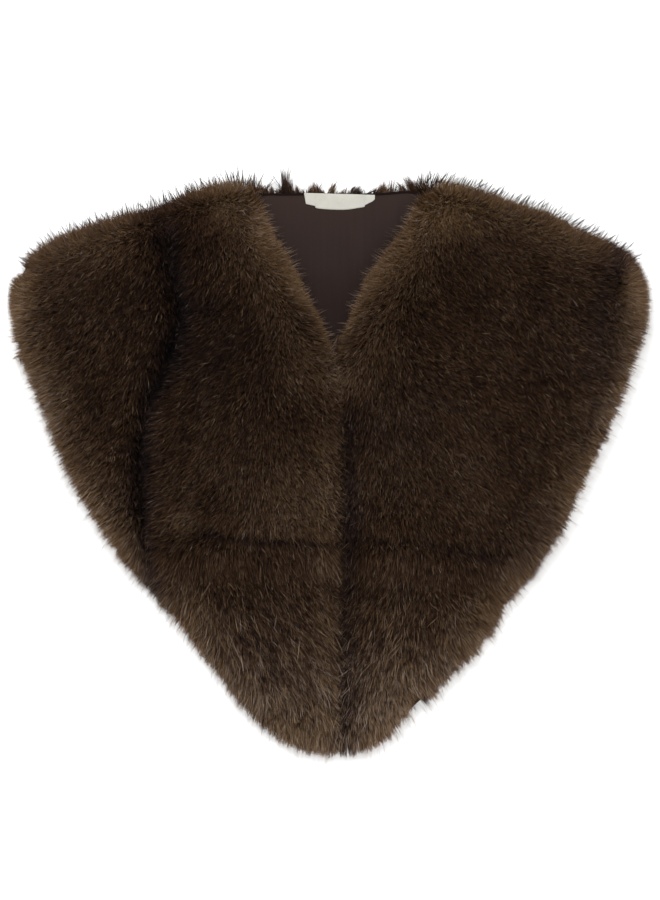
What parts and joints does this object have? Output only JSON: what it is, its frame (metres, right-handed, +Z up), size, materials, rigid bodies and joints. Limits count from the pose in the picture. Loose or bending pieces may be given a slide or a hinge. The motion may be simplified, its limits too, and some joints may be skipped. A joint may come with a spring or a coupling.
{
  "type": "fur collar wrap",
  "caption": "Lined faux fur collar wrap with a V neck, laid flat with its fronts folded over its back.",
  "frame": {"origin": "middle of the bounding box, on the table", "axes": "+X to the right across the shoulders, +Y towards the neck, +Z up from the table"},
  "size_m": [0.5927, 0.5344, 0.0446],
  "materials": {
    "fur_front": "long brown pile with paler guard hairs",
    "fur_back": "long brown pile, pressed flat",
    "lining": "fine plain weave, dark brown",
    "label": "woven tape, off-white, bare"
  },
  "bodies": {
    "root": {"front_left": "fur_front", "front_right": "fur_front", "back_panel": "fur_back", "back_lining": "lining", "neck_label": "label"}
  },
  "joints": []
}
